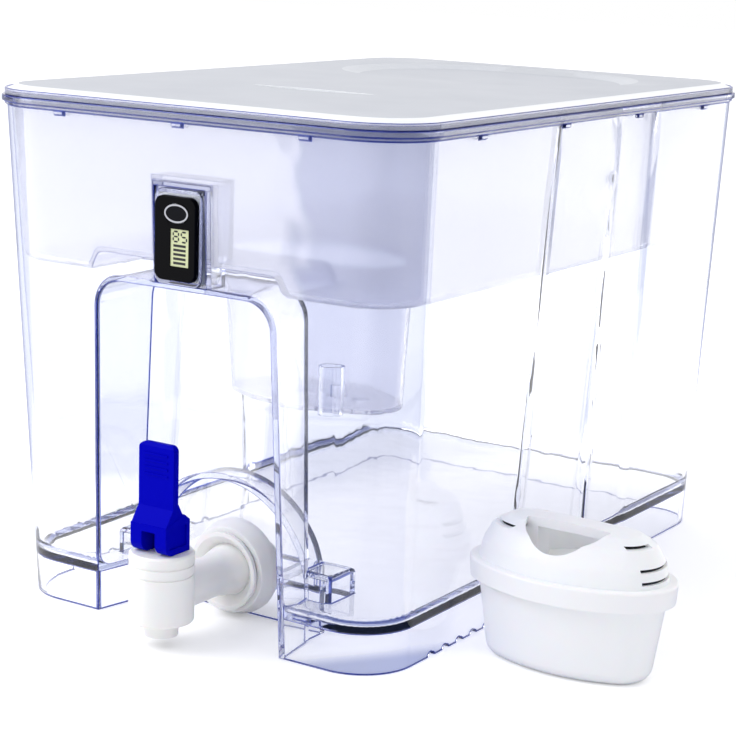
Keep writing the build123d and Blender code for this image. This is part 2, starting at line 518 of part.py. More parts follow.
# ---------------------------------------------------------------- tap
def make_tap():
    body = rod(BARREL_R, (0, TAP_Y, BARREL_Z0), (0, TAP_Y, BARREL_Z1))
    body = fillet(body.edges().sort_by(Axis.Z)[0], 1.5)
    body = chamfer(body.edges().sort_by(Axis.Z)[-1], 1.0)
    for z in (RING_Z, RING_Z + RING_PITCH):
        groove = rod(BARREL_R + 1, (0, TAP_Y, z), (0, TAP_Y, z + RING_H))
        body -= groove - rod(BARREL_R - RING_DEEP, (0, TAP_Y, z - 1), (0, TAP_Y, z + 2))
    body += rod(OUTLET_R, (0, TAP_Y, OUTLET_Z), (0, TAP_Y, BARREL_Z0 + 1))
    root_y = TAP_Y + 8
    collar_y = TAP_COLLAR_Y
    body += rod(NECK_R, (0, root_y, TAP_Z), (0, collar_y + 4, TAP_Z))
    bell = Plane((0, 0, TAP_Z), x_dir=(0, 1, 0), z_dir=(1, 0, 0))
    profile = [
        (ARCH_BACK_Y - WASHER_T, 0),
        (ARCH_BACK_Y - WASHER_T, COLLAR_R1 - 1),
        (collar_y + 7, COLLAR_R1 - 1),
        (collar_y + 2, COLLAR_R0 - 1),
        (collar_y, COLLAR_R0 - 1),
        (collar_y, COLLAR_R0 - 3),
        (collar_y + 5, NECK_R + 2.6),
        (collar_y - 8, NECK_R),
        (collar_y - 8, 0),
    ]
    body += revolve(bell * make_face(Polyline(profile, close=True)), Axis((0, 0, TAP_Z), (0, 1, 0)))
    body += rod(THREAD_R, (0, ARCH_BACK_Y - 4, TAP_Z), (0, THREAD_END_Y, TAP_Z))
    for k in range(THREAD_TURNS):
        y = ARCH_BACK_Y + 6.5 + THREAD_PITCH * k
        ring = rod(THREAD_R + 1, (0, y, TAP_Z), (0, y + 0.7, TAP_Z))
        body -= ring - rod(THREAD_R - 0.5, (0, y - 1, TAP_Z), (0, y + 2, TAP_Z))
    body -= rod(BORE_R, (0, TAP_Y, BARREL_Z0 + 4), (0, TAP_Y, BARREL_Z1 - 4))
    body -= rod(STEM_R + RUN, (0, TAP_Y, BARREL_Z1 - 5), (0, TAP_Y, BARREL_Z1 + 1))
    body -= rod(OUTLET_BORE, (0, TAP_Y, OUTLET_Z - 1), (0, TAP_Y, BARREL_Z0 + 5))
    body -= rod(NECK_BORE, (0, TAP_Y + BORE_R - 3, TAP_Z), (0, THREAD_END_Y + 1, TAP_Z))
    shroud_profile = [
        (collar_y + 7.3, COLLAR_R1 - 0.9),
        (collar_y + 3.5, COLLAR_R0 - 1.9),
        (collar_y + 3.5, SHROUD_R0),
        (ARCH_BACK_Y - 3, SHROUD_R1),
        (ARCH_BACK_Y, SHROUD_R1),
        (ARCH_BACK_Y, COLLAR_R1 - 0.9),
    ]
    shroud = revolve(bell * make_face(Polyline(shroud_profile, close=True)), Axis((0, 0, TAP_Z), (0, 1, 0)))
    outer_washer = rod(WASHER_R, (0, ARCH_BACK_Y - WASHER_T, TAP_Z), (0, ARCH_BACK_Y, TAP_Z))
    outer_washer -= rod(THREAD_R, (0, ARCH_BACK_Y - 9, TAP_Z), (0, ARCH_BACK_Y + 9, TAP_Z))
    inside_y = ARCH_BACK_Y + THIN
    inner_washer = rod(WASHER_R, (0, inside_y, TAP_Z), (0, inside_y + WASHER_T, TAP_Z))
    inner_washer -= rod(THREAD_R, (0, inside_y - 9, TAP_Z), (0, inside_y + 9, TAP_Z))
    nut_y = inside_y + WASHER_T
    nut = extrude(across(nut_y) * Pos(0, TAP_Z) * RegularPolygon(NUT_R, 6), amount=-NUT_T)
    nut -= rod(THREAD_R, (0, nut_y - 1, TAP_Z), (0, nut_y + NUT_T + 1, TAP_Z))
    return body, shroud, outer_washer, inner_washer, nut


def make_valve():
    seat_z = BARREL_Z0 + 4
    cup = rod(BORE_R - 1.2, (0, TAP_Y, seat_z), (0, TAP_Y, seat_z + 7))
    cup = chamfer(cup.edges().sort_by(Axis.Z)[-1], 2.0)
    cup -= rod(STEM_R, (0, TAP_Y, seat_z + 2), (0, TAP_Y, seat_z + 9))
    stem = rod(STEM_R, (0, TAP_Y, seat_z + 2), (0, TAP_Y, PIN_Z + 4))
    stem -= rod(PIN_R, (-9, TAP_Y, PIN_Z), (9, TAP_Y, PIN_Z))
    pin_end = LEVER_W / 2 - PIN_SKIN - 0.2
    pin = rod(PIN_R, (-pin_end, TAP_Y, PIN_Z), (pin_end, TAP_Y, PIN_Z))
    low, high = seat_z + 8.3, BARREL_Z1 - 4.9
    path = Pos(0, TAP_Y, low) * Helix(pitch=(high - low) / SPRING_TURNS, height=high - low, radius=SPRING_R)
    wire_plane = Plane(origin=path @ 0, z_dir=path % 0)
    spring = sweep(wire_plane * Circle(WIRE_R), path=path)
    return cup, stem, pin, spring


def make_lever():
    z0 = BARREL_Z1 + LEVER_GAP
    y0 = TAP_Y - LEVER_FRONT
    y1 = TAP_Y + LEVER_BACK
    x = LEVER_W / 2
    side = Plane((0, 0, 0), x_dir=(0, 1, 0), z_dir=(1, 0, 0))
    corners = [(y0, z0), (y1, z0), (y1, LEVER_Z1 - 3), (y1 - 4, LEVER_Z1), (y0, LEVER_Z1 - 4)]
    base = make_face(Polyline(corners, close=True))
    nose = base.vertices().sort_by(Axis.X).group_by(Axis.X)[0].sort_by(Axis.Y)[0]
    base = fillet(nose, LEVER_NOSE_R)
    body = extrude(side * base, amount=x, both=True)
    paddle_y0 = y0 + 5.5
    paddle = [
        (y0 + 0.4, LEVER_Z1 - 4.0),
        (paddle_y0 - 2.3, LEVER_Z1 + 0.2),
        (paddle_y0, LEVER_Z1 + 3.5),
        (paddle_y0, PADDLE_TOP_Z - 1.5),
        (paddle_y0 + 1.5, PADDLE_TOP_Z),
        (paddle_y0 + PADDLE_T, PADDLE_TOP_Z),
        (paddle_y0 + PADDLE_T, LEVER_Z1 + 6),
        (y1 - 4, LEVER_Z1 - 2),
    ]
    blade = extrude(side * make_face(Polyline(paddle, close=True)), amount=x - 0.2, both=True)
    tips = blade.edges().filter_by(Axis.Y).group_by(Axis.Z)[-1]
    blade = fillet(tips, 3.0)
    body += blade
    for k in range(4):
        z = PADDLE_TOP_Z - 5.1 - 3.2 * k
        body += block(-6.8, 6.8, paddle_y0 - 0.4, paddle_y0 + 1, z - 0.5, z + 0.5)
    for s in (-1, 1):
        low, high = sorted((s * (x - 0.9), s * (x + 1)))
        body -= block(low, high, y0 + 3, y1 - 2.5, z0 + 3, LEVER_Z1 - 5)
    reach = STEM_R + 0.5
    inner_y = TAP_Y + 5.7
    body -= block(-reach, reach, y0 - 1, inner_y, z0 - 1, PIN_Z + 1.7)
    body -= block(-reach, reach, y0 + 3, inner_y, z0 - 1, PIN_Z + 5.5)
    body -= rod(PIN_R + RUN, (-x + PIN_SKIN, TAP_Y, PIN_Z), (x - PIN_SKIN, TAP_Y, PIN_Z))
    return body


os.makedirs("parts", exist_ok=True)
groups = (
    ((make_tank(), make_funnel(), make_chamber(), make_vent_tube(), make_lid(), make_lever()),
     ("tank", "funnel", "cartridge_chamber", "vent_tube", "lid", "lever")),
    (make_cartridge(), ("cartridge_body", "cartridge_cap", "cartridge_screen", "cartridge_media")),
    (make_timer(), ("timer_bezel", "timer_case", "timer_button_ring", "timer_button", "timer_lcd",
                    "timer_board", "timer_cell")),
    (make_tap(), ("tap_body", "tap_shroud", "outer_washer", "inner_washer", "lock_nut")),
    (make_valve(), ("seat_cup", "stem", "lever_pin", "stem_spring")),
)
for shapes, names in groups:
    for shape, name in zip(shapes, names):
        save(shape, name)
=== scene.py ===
from math import radians, tau

import bpy
from mathutils import Euler, Matrix, Vector


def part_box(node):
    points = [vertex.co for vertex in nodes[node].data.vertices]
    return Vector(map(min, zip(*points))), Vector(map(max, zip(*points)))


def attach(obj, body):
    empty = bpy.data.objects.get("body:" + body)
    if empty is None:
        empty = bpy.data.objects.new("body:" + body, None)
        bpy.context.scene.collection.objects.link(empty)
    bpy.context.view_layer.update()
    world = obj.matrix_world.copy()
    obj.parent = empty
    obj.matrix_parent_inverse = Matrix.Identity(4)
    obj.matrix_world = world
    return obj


# Countertop gravity water filter, dressed for a bright studio. Lengths are in metres.

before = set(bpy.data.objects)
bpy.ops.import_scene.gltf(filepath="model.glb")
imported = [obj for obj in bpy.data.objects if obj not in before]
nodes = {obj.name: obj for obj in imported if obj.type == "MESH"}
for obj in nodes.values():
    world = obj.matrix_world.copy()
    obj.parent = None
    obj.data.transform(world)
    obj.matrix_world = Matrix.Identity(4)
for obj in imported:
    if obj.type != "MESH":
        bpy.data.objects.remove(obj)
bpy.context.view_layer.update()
MM = 0.001


# ---------------------------------------------------------------- small helpers
def linear(code):
    """sRGB hex colour as linear RGBA."""
    channels = [int(code[k:k + 2], 16) / 255 for k in (1, 3, 5)]
    return tuple(c / 12.92 if c <= 0.04045 else ((c + 0.055) / 1.055) ** 2.4 for c in channels) + (1.0,)


def add(tree, kind, inputs=None, **settings):
    """One node with its settings; an input given as a socket is linked, anything else is its value."""
    made = tree.nodes.new(kind)
    for name, value in settings.items():
        setattr(made, name, value)
    for name, value in (inputs or {}).items():
        if isinstance(value, bpy.types.NodeSocket):
            tree.links.new(value, made.inputs[name])
        else:
            made.inputs[name].default_value = value
    return made


def blank(name):
    made = bpy.data.materials.new(name)
    made.use_nodes = True
    made.node_tree.nodes.clear()
    return made, made.node_tree


def per_size(size_mm):
    """Noise scale whose features are about this size, for object coordinates in metres."""
    return 1000.0 / size_mm


def per_pitch(pitch_mm):
    """Wave scale whose bands are this far apart: the wave texture runs 20 radians to a unit."""
    return tau / (20.0 * pitch_mm * MM)


# ---------------------------------------------------------------- materials
def finish_clear(tree, body, passing, volume=None):
    """Output of a clear plastic: it lets the lamps' light through, tinted, so that its shadow is pale."""
    window = add(tree, "ShaderNodeBsdfTransparent", {"Color": linear(passing)})
    path = add(tree, "ShaderNodeLightPath")
    mixed = add(tree, "ShaderNodeMixShader", {
        0: path.outputs["Is Shadow Ray"], 1: body.outputs[0], 2: window.outputs[0]})
    output = add(tree, "ShaderNodeOutputMaterial", {"Surface": mixed.outputs[0]})
    if volume:
        tree.links.new(volume.outputs[0], output.inputs["Volume"])


def clear_moulding(name, wave, depth=12.0):
    """Polished clear plastic: glass clear and faintly blue. Its colour is painted navy where the surface
    turns edge-on to the view, a painted shade for the dark edges that light running along inside the wall
    gives. The slow waviness is the sink of thick and thin walls, which makes lines behind it wander. Depth is
    how much a metre of it absorbs."""
    made, tree = blank(name)
    place = add(tree, "ShaderNodeTexCoord").outputs["Object"]
    sink = add(tree, "ShaderNodeTexNoise", {"Vector": place, "Scale": per_size(24), "Detail": 1.0})
    bump = add(tree, "ShaderNodeBump", {
        "Height": sink.outputs["Fac"], "Strength": wave, "Distance": 0.4 * MM})
    # painted shade: the glass colour turns navy where the surface turns edge-on to the view
    facing = add(tree, "ShaderNodeLayerWeight", {"Blend": 0.5}).outputs["Facing"]
    painted_rim_shade = add(tree, "ShaderNodeMapRange", {"Value": facing, "From Min": 0.70, "From Max": 0.88})
    tone = add(tree, "ShaderNodeMix", {
        0: painted_rim_shade.outputs["Result"], 6: linear("#ffffff"), 7: linear("#1a2684")}, data_type="RGBA")
    body = add(tree, "ShaderNodeBsdfPrincipled", {
        "Base Color": tone.outputs[2], "Roughness": 0.012, "IOR": 1.57,
        "Transmission Weight": 1.0, "Normal": bump.outputs["Normal"]})
    tint = add(tree, "ShaderNodeVolumeAbsorption", {"Color": linear("#93a8e4"), "Density": depth})
    finish_clear(tree, body, "#fdfdff", tint)
    return made


def painted_edge_line(name):
    """The small radius of a clear moulding's corner, painted navy: a navy glass colour and a share of matt
    navy stand in for the light that ran along inside the wall and comes out there, a painted shade that draws
    the edge as a fine line."""
    made, tree = blank(name)
    # painted shade: navy glass and a matt navy share draw the edge as a dark line
    glass = add(tree, "ShaderNodeBsdfPrincipled", {
        "Base Color": linear("#2c3ca0"), "Roughness": 0.05, "IOR": 1.57, "Transmission Weight": 1.0})
    glow = add(tree, "ShaderNodeBsdfDiffuse", {"Color": linear("#1a2cae")})
    painted_navy_share = 0.22
    body = add(tree, "ShaderNodeMixShader", {0: painted_navy_share, 1: glass.outputs[0], 2: glow.outputs[0]})
    finish_clear(tree, body, "#fdfdff")
    return made


def milky_moulding(name, colour, haze, milk):
    """Natural polypropylene: what is behind shows only as soft tones, under a veil that takes the light
    of its surroundings from both sides. Haze is the roughness of its glass, milk the veil's share."""
    made, tree = blank(name)
    place = add(tree, "ShaderNodeTexCoord").outputs["Object"]
    flow = add(tree, "ShaderNodeTexNoise", {"Vector": place, "Scale": per_size(60), "Detail": 2.0})
    cloud = add(tree, "ShaderNodeMapRange", {
        "Value": flow.outputs["Fac"], "To Min": haze - 0.04, "To Max": haze + 0.04})
    glass = add(tree, "ShaderNodeBsdfPrincipled", {
        "Base Color": linear(colour), "Roughness": cloud.outputs["Result"], "IOR": 1.49,
        "Transmission Weight": 1.0})
    front = add(tree, "ShaderNodeBsdfDiffuse", {"Color": linear(colour)})
    back = add(tree, "ShaderNodeBsdfTranslucent", {"Color": linear(colour)})
    back_share = 0.5
    veil = add(tree, "ShaderNodeMixShader", {0: back_share, 1: front.outputs[0], 2: back.outputs[0]})
    body = add(tree, "ShaderNodeMixShader", {0: milk, 1: glass.outputs[0], 2: veil.outputs[0]})
    finish_clear(tree, body, "#eff0f8")
    return made


def moulded(name, colour, rough, grain_mm, grain, deep=0.0, shine=0.5, slope_highlight=None):
    """Opaque moulded plastic: the mould's spark grain breaks up its highlights, and its colour drifts a
    little with the flow. The real grain is about 0.1 mm, and is drawn coarser so that it shows. With
    `slope_highlight`, faces that tilt away from level are painted in that lighter colour, a painted
    highlight."""
    made, tree = blank(name)
    place = add(tree, "ShaderNodeTexCoord").outputs["Object"]
    flow = add(tree, "ShaderNodeTexNoise", {"Vector": place, "Scale": per_size(35), "Detail": 2.0})
    darkest = 0.965
    shade = [c * darkest for c in linear(colour)[:3]] + [1.0]
    drift = add(tree, "ShaderNodeMix", {
        0: flow.outputs["Fac"], 6: linear(colour), 7: shade}, data_type="RGBA")
    tone = drift.outputs[2]
    # painted highlight: faces that tilt away from level get the lighter colour
    if slope_highlight:
        normal = add(tree, "ShaderNodeNewGeometry").outputs["True Normal"]
        up = add(tree, "ShaderNodeVectorMath", {0: normal, 1: (0, 0, 1)}, operation="DOT_PRODUCT")
        level = add(tree, "ShaderNodeMapRange", {
            "Value": up.outputs["Value"], "From Min": 0.93, "From Max": 0.985})
        painted_slope_light = add(tree, "ShaderNodeMix", {
            0: level.outputs["Result"], 6: linear(slope_highlight), 7: tone}, data_type="RGBA")
        tone = painted_slope_light.outputs[2]
    spark = add(tree, "ShaderNodeTexNoise", {"Vector": place, "Scale": per_size(grain_mm), "Detail": 3.0})
    bump = add(tree, "ShaderNodeBump", {
        "Height": spark.outputs["Fac"], "Strength": grain, "Distance": 0.05 * MM})
    wear = add(tree, "ShaderNodeMapRange", {
        "Value": flow.outputs["Fac"], "To Min": rough - 0.03, "To Max": rough + 0.05})
    body = add(tree, "ShaderNodeBsdfPrincipled", {
        "Base Color": tone, "Roughness": wear.outputs["Result"], "IOR": 1.5,
        "Subsurface Weight": deep, "Subsurface Scale": 2.0 * MM, "Specular IOR Level": shine,
        "Normal": bump.outputs["Normal"]})
    add(tree, "ShaderNodeOutputMaterial", {"Surface": body.outputs[0]})
    return made


def drawn_metal(name, colour, rough, line_mm):
    """Stainless steel or nickel with lines from drawing or rolling, which stretch its highlights. The
    real lines are some hundredths of a millimetre apart, and are drawn coarser so that they show."""
    made, tree = blank(name)
    place = add(tree, "ShaderNodeTexCoord").outputs["Object"]
    along = add(tree, "ShaderNodeMapping", {"Vector": place, "Scale": (0.05, 1.0, 1.0)})
    lines = add(tree, "ShaderNodeTexNoise", {
        "Vector": along.outputs[0], "Scale": per_size(line_mm), "Detail": 2.0})
    bump = add(tree, "ShaderNodeBump", {
        "Height": lines.outputs["Fac"], "Strength": 0.2, "Distance": 0.02 * MM})
    body = add(tree, "ShaderNodeBsdfPrincipled", {
        "Base Color": linear(colour), "Metallic": 1.0, "Roughness": rough,
        "Normal": bump.outputs["Normal"]})
    add(tree, "ShaderNodeOutputMaterial", {"Surface": body.outputs[0]})
    return made


def carbon_grains(name):
    """Granular active carbon with white resin beads, about a millimetre each: dull black, with dots."""
    made, tree = blank(name)
    place = add(tree, "ShaderNodeTexCoord").outputs["Object"]
    cells = add(tree, "ShaderNodeTexVoronoi", {"Vector": place, "Scale": per_size(1.1)})
    pick = add(tree, "ShaderNodeMapRange", {
        "Value": cells.outputs["Color"], "From Min": 0.72, "From Max": 0.74})
    tone = add(tree, "ShaderNodeMix", {
        0: pick.outputs["Result"], 6: linear("#151516"), 7: linear("#cfc6ae")}, data_type="RGBA")
    bump = add(tree, "ShaderNodeBump", {
        "Height": cells.outputs["Distance"], "Strength": 0.6, "Distance": 0.4 * MM}, invert=True)
    body = add(tree, "ShaderNodeBsdfPrincipled", {
        "Base Color": tone.outputs[2], "Roughness": 0.7, "Normal": bump.outputs["Normal"]})
    add(tree, "ShaderNodeOutputMaterial", {"Surface": body.outputs[0]})
    return made


def woven_screen(name):
    """Black polyester mesh: threads 0.5 mm apart, drawn three times as coarse so that the weave shows."""
    made, tree = blank(name)
    pitch = per_pitch(1.58)
    place = add(tree, "ShaderNodeTexCoord").outputs["Object"]
    warp = add(tree, "ShaderNodeTexWave", {"Vector": place, "Scale": pitch}, bands_direction="X")
    weft = add(tree, "ShaderNodeTexWave", {"Vector": place, "Scale": pitch}, bands_direction="Y")
    both = add(tree, "ShaderNodeMath", {
        0: warp.outputs["Fac"], 1: weft.outputs["Fac"]}, operation="MAXIMUM")
    tone = add(tree, "ShaderNodeMix", {
        0: both.outputs[0], 6: linear("#050506"), 7: linear("#26262a")}, data_type="RGBA")
    bump = add(tree, "ShaderNodeBump", {
        "Height": both.outputs[0], "Strength": 0.5, "Distance": 0.15 * MM})
    body = add(tree, "ShaderNodeBsdfPrincipled", {
        "Base Color": tone.outputs[2], "Roughness": 0.55, "Normal": bump.outputs["Normal"]})
    add(tree, "ShaderNodeOutputMaterial", {"Surface": body.outputs[0]})
    return made


# clear: the tank's polished walls with their navy edges painted on as painted shade, the timer's case, and
# the small tube
CLEAR_SAN = clear_moulding("moulded clear SAN", wave=0.35)
PAINTED_NAVY_EDGE = painted_edge_line("painted navy line on a clear moulding's edge")
CLEAR_CASE = clear_moulding("moulded clear polycarbonate", wave=0.15)
CLEAR_TUBE = clear_moulding("extruded clear tube", wave=0.1, depth=20.0)
# milky: the funnel veils what it holds, and the chamber below it veils less
MILKY_PP = milky_moulding("moulded natural polypropylene", "#fbfbff", haze=0.13, milk=0.24)
CHAMBER_PP = milky_moulding("deep moulded natural polypropylene", "#fcfcff", haze=0.14, milk=0.08)
# lid: satin white plastic, painted grey-white on the level as painted shade and white on the chamfer and
# round the dish as a painted highlight
LID_ABS = moulded("satin moulded ABS", "#aeb2ba", rough=0.30, grain_mm=0.5, grain=0.10, slope_highlight="#f4f6f7")
# warm and cool whites that take a little light inside, so that their shadows stay soft
CARTRIDGE_PP = moulded(
    "moulded cartridge polypropylene", "#fafafa", rough=0.34, grain_mm=0.6, grain=0.12, deep=0.15)
TAP_PP = moulded("moulded tap polypropylene", "#fbfaf7", rough=0.30, grain_mm=0.6, grain=0.12, deep=0.2)
NUT_PP = moulded("moulded nut polypropylene", "#f0efea", rough=0.4, grain_mm=0.6, grain=0.15, deep=0.2)
SILICONE = moulded("pressed silicone", "#e2e1dc", rough=0.55, grain_mm=0.5, grain=0.15, deep=0.3)
ACETAL = moulded("turned acetal", "#ecebe5", rough=0.35, grain_mm=0.5, grain=0.1, deep=0.2)
# lever: a deep even blue with hardly any highlight
LEVER_ABS = moulded("moulded royal blue ABS", "#0001b4", rough=0.45, grain_mm=0.5, grain=0.10, shine=0.02)
# timer: gloss black face, dull black button, silver print, and a green film with dark segments
BEZEL_ACRYLIC = moulded("polished black acrylic", "#020205", rough=0.12, grain_mm=0.8, grain=0.02, shine=0.04)
BUTTON_RUBBER = moulded("moulded black rubber", "#08080f", rough=0.5, grain_mm=0.4, grain=0.2, shine=0.1)
PRINT_SILVER = moulded("printed silver grey", "#b9bac0", rough=0.35, grain_mm=0.4, grain=0.1)
LCD_FILM = moulded("laminated lcd film", "#d0d6a6", rough=0.25, grain_mm=0.3, grain=0.05)
LCD_INK = moulded("dark lcd segments", "#11120c", rough=0.4, grain_mm=0.3, grain=0.05)
BOARD = moulded("white solder mask", "#d9dde2", rough=0.45, grain_mm=0.5, grain=0.2)
# metal: bright pin, spring and cell
PIN_STEEL = drawn_metal("drawn stainless pin", "#c4c5c8", rough=0.25, line_mm=0.2)
SPRING_STEEL = drawn_metal("drawn stainless spring wire", "#bfc0c4", rough=0.3, line_mm=0.2)
CELL_NICKEL = drawn_metal("rolled nickel plated steel", "#cfcfcd", rough=0.2, line_mm=0.3)
# inside the cartridge
CARBON = carbon_grains("active carbon and resin")
SCREEN = woven_screen("woven black polyester")

FINISHES = {
    "tank": CLEAR_SAN, "funnel": MILKY_PP, "cartridge_chamber": CHAMBER_PP,
    "vent_tube": CLEAR_TUBE, "lid": LID_ABS,
    "cartridge_body": CARTRIDGE_PP, "cartridge_cap": CARTRIDGE_PP,
    "cartridge_screen": SCREEN, "cartridge_media": CARBON,
    "timer_bezel": BEZEL_ACRYLIC, "timer_case": CLEAR_CASE, "timer_button_ring": PRINT_SILVER,
    "timer_button": BUTTON_RUBBER, "timer_lcd": LCD_FILM, "timer_board": BOARD,
    "timer_cell": CELL_NICKEL,
    "tap_body": TAP_PP, "tap_shroud": TAP_PP, "lever": LEVER_ABS, "lock_nut": NUT_PP,
    "outer_washer": SILICONE, "inner_washer": SILICONE, "seat_cup": SILICONE,
    "stem": ACETAL, "lever_pin": PIN_STEEL, "stem_spring": SPRING_STEEL,
}
for name, finish in FINISHES.items():
    nodes[name].data.materials.clear()
    nodes[name].data.materials.append(finish)


# ---------------------------------------------------------------- moulded edges
def round_edges(name, radius_mm, finish=None, sharp=32):
    """A mould leaves no knife edge: every corner of this node sharper than so many degrees gets a small
    radius, with its own finish where one is given, which on the clear walls is a painted navy edge line."""
    node = nodes[name]
    weld = node.modifiers.new("joined", "WELD")
    weld.merge_threshold = 0.002 * MM
    edge = node.modifiers.new("edge radius", "BEVEL")
    edge.width = radius_mm * MM
    edge.segments = 2
    edge.limit_method = "ANGLE"
    edge.angle_limit = radians(sharp)
    edge.harden_normals = False
    if finish:
        node.data.materials.append(finish)
        edge.material = 1
        edge.use_clamp_overlap = False
        edge.loop_slide = False
    smooth = node.modifiers.new("shading", "WEIGHTED_NORMAL")
    smooth.keep_sharp = False


EDGE_RADII = {
    "cartridge_chamber": 0.4, "lid": 0.4, "tap_body": 0.4, "tap_shroud": 0.4, "lever": 0.35,
    "cartridge_body": 0.4, "cartridge_cap": 0.4, "timer_bezel": 0.3, "timer_case": 0.3, "lock_nut": 0.4,
}
for name, radius in EDGE_RADII.items():
    round_edges(name, radius)
# painted shade: the radii of the clear walls get the painted navy edge line
round_edges("tank", 0.5, PAINTED_NAVY_EDGE)
round_edges("funnel", 0.35, PAINTED_NAVY_EDGE, sharp=60)


# ---------------------------------------------------------------- meshes
def solid_from(name, corners, faces, finish):
    mesh = bpy.data.meshes.new(name)
    mesh.from_pydata(corners, [], faces)
    mesh.materials.append(finish)
    made = bpy.data.objects.new(name, mesh)
    bpy.context.scene.collection.objects.link(made)
    return made


def flat_bars(name, outlines, y0, y1, finish):
    """Thin raised shapes that face the front: each outline is a loop of (x, z)."""
    corners = []
    faces = []
    for loop in outlines:
        first, count = len(corners), len(loop)
        corners += [(x, y0, z) for x, z in loop] + [(x, y1, z) for x, z in loop]
        faces.append([first + k for k in range(count)])
        faces.append([first + count + k for k in reversed(range(count))])
        for k in range(count):
            after = (k + 1) % count
            faces.append([first + k, first + count + k, first + count + after, first + after])
    return solid_from(name, corners, faces, finish)


# lcd: two seven-segment digits over five charge bars
SEGMENTS = {"8": "abcdefg", "5": "afgcd"}
DIGIT_W, DIGIT_H = 3.0 * MM, 4.6 * MM
DIGIT_LEFT, DIGIT_STEP, DIGIT_DOWN = 1.5 * MM, 4.6 * MM, 5.7 * MM
STROKE, STROKE_GAP = 0.8 * MM, 0.3 * MM
BAR_LEFT, BAR_RIGHT = 1.6 * MM, 1.8 * MM
BAR_DOWN, BAR_STEP, BAR_H = 7.0 * MM, 2.0 * MM, 1.15 * MM
INK_FACE, INK_BACK = 0.06 * MM, 0.01 * MM


def stroke_outline(letter, x, z):
    """One stroke of a digit whose lower left corner is (x, z), with pointed ends."""
    w, h, mid = DIGIT_W, DIGIT_H, z + DIGIT_H / 2
    runs = {
        "a": (x, x + w, z + h, z + h), "g": (x, x + w, mid, mid), "d": (x, x + w, z, z),
        "f": (x, x, mid, z + h), "b": (x + w, x + w, mid, z + h),
        "e": (x, x, z, mid), "c": (x + w, x + w, z, mid),
    }
    x0, x1, z0, z1 = runs[letter]
    half = STROKE / 2
    if z0 == z1:
        x0, x1 = x0 + STROKE_GAP, x1 - STROKE_GAP
        return [
            (x0, z0), (x0 + half, z0 - half), (x1 - half, z0 - half),
            (x1, z0), (x1 - half, z0 + half), (x0 + half, z0 + half)]
    z0, z1 = z0 + STROKE_GAP, z1 - STROKE_GAP
    return [
        (x0, z0), (x0 + half, z0 + half), (x0 + half, z1 - half),
        (x0, z1), (x0 - half, z1 - half), (x0 - half, z0 + half)]


lcd_low, lcd_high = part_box("timer_lcd")
strokes = []
for k, digit in enumerate("85"):
    left = lcd_low.x + DIGIT_LEFT + k * DIGIT_STEP
    for letter in SEGMENTS[digit]:
        strokes.append(stroke_outline(letter, left, lcd_high.z - DIGIT_DOWN))
for k in range(5):
    top = lcd_high.z - BAR_DOWN - k * BAR_STEP
    x0, x1 = lcd_low.x + BAR_LEFT, lcd_high.x - BAR_RIGHT
    strokes.append([(x0, top - BAR_H), (x1, top - BAR_H), (x1, top), (x0, top)])
segments = flat_bars("lcd_segments", strokes, lcd_low.y - INK_FACE, lcd_low.y - INK_BACK, LCD_INK)
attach(segments, "timer")

# ---------------------------------------------------------------- studio
# floor: in gloss, a band of the paper glows at the back left, a painted reflection of a soft box where no
# lamp stands, and the paper is painted darker beside and past it; through clear plastic the paper glows more
# near the tank, a painted light
TO_PAINTED_GLOW = (-0.818, 0.575, 0.0)
ALONG_PAINTED_GLOW = (0.575, 0.818, 0.0)
BAND_EDGE, BAND_FULL = -0.115, -0.095
BAND_END, BAND_END_FULL, BAND_SLANT = 0.22, 0.13, -0.25
NEAR, FAR = 0.15, 0.45
PAPER, PAINTED_SHADE_PAST_END, PAINTED_PAPER_SHADE = "#f6f6f6", "#c8ccda", "#7080b4"
GLOW_SEEN, PAINTED_GLOW_IN_GLOSS = 0.25, 1.1
PAINTED_GLOW_THROUGH_NEAR, GLOW_THROUGH_FAR = 0.36, 0.22
FLOOR_HALF = 6


